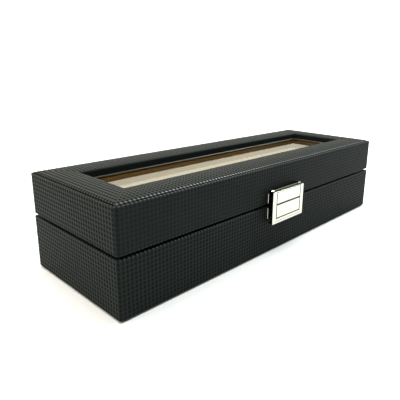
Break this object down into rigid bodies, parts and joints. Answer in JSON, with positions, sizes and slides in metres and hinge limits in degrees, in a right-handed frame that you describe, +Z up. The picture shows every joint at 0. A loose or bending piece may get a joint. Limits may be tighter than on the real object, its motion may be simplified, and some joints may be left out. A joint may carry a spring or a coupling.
{
  "type": "watch display box",
  "caption": "Long, low leatherette watch box with a hinged glazed lid, padded frame, flip latch and cushioned compartments.",
  "frame": {"origin": "centre of the underside of the closed box", "axes": "+X along the length to the right, the latch faces -Y, the hinges are on +Y, +Z up"},
  "size_m": [0.336, 0.1249, 0.0784],
  "materials": {
    "leatherette": "black embossed leatherette, satin",
    "felt": "black felt",
    "suede_lining": "brown suede-effect lining",
    "cushion_suede": "brown suede-effect cushion cover over stuffing",
    "glass": "clear float glass",
    "foam": "grey foam",
    "polished_plate": "polished nickel plate",
    "hinge_plate": "nickel-plated steel",
    "fibreboard": "raw fibreboard"
  },
  "bodies": {
    "base": {"base_underside_felt": "felt", "base_floor_board": "fibreboard", "base_floor_lining": "suede_lining", "base_front_wall": "fibreboard", "base_rear_wall": "fibreboard", "base_left_wall": "fibreboard", "base_right_wall": "fibreboard", "base_cover": "leatherette", "base_liner_front": "suede_lining", "base_liner_rear": "suede_lining", "base_liner_left": "suede_lining", "base_liner_right": "suede_lining", "divider_1": "suede_lining", "divider_2": "suede_lining", "divider_3": "suede_lining", "divider_4": "suede_lining", "divider_5": "suede_lining", "cushion_1": "cushion_suede", "cushion_2": "cushion_suede", "cushion_3": "cushion_suede", "cushion_4": "cushion_suede", "cushion_5": "cushion_suede", "cushion_6": "cushion_suede", "hinge_base_leaf_left": "hinge_plate", "hinge_base_leaf_right": "hinge_plate", "hinge_pin_left": "hinge_plate", "hinge_pin_right": "hinge_plate", "hinge_screws_base": "hinge_plate", "latch_catch": "polished_plate", "latch_catch_screws": "polished_plate"},
    "lid": {"lid_front_wall": "fibreboard", "lid_rear_wall": "fibreboard", "lid_left_wall": "fibreboard", "lid_right_wall": "fibreboard", "lid_side_cover": "leatherette", "lid_top_frame": "fibreboard", "lid_top_pad": "foam", "lid_top_cover": "leatherette", "glass_pane": "glass", "glass_retainer": "suede_lining", "lid_liner_front": "suede_lining", "lid_liner_rear": "suede_lining", "lid_liner_left": "suede_lining", "lid_liner_right": "suede_lining", "hinge_lid_leaf_left": "hinge_plate", "hinge_lid_leaf_right": "hinge_plate", "hinge_screws_lid": "hinge_plate", "latch_lid_plate": "polished_plate", "latch_plate_screws": "polished_plate", "latch_pin": "polished_plate"},
    "latch_flap": {"latch_cover": "polished_plate"}
  },
  "joints": [
    {"name": "lid_hinge", "type": "hinge", "parent": "base", "child": "lid", "pos_m": [0, 0.0592, 0.0439], "axis": [-1, 0, 0], "range_deg": [0, 100]},
    {"name": "latch_hinge", "type": "hinge", "parent": "lid", "child": "latch_flap", "pos_m": [0, -0.0596, 0.0559], "axis": [-1, 0, 0], "range_deg": [0, 100]}
  ]
}
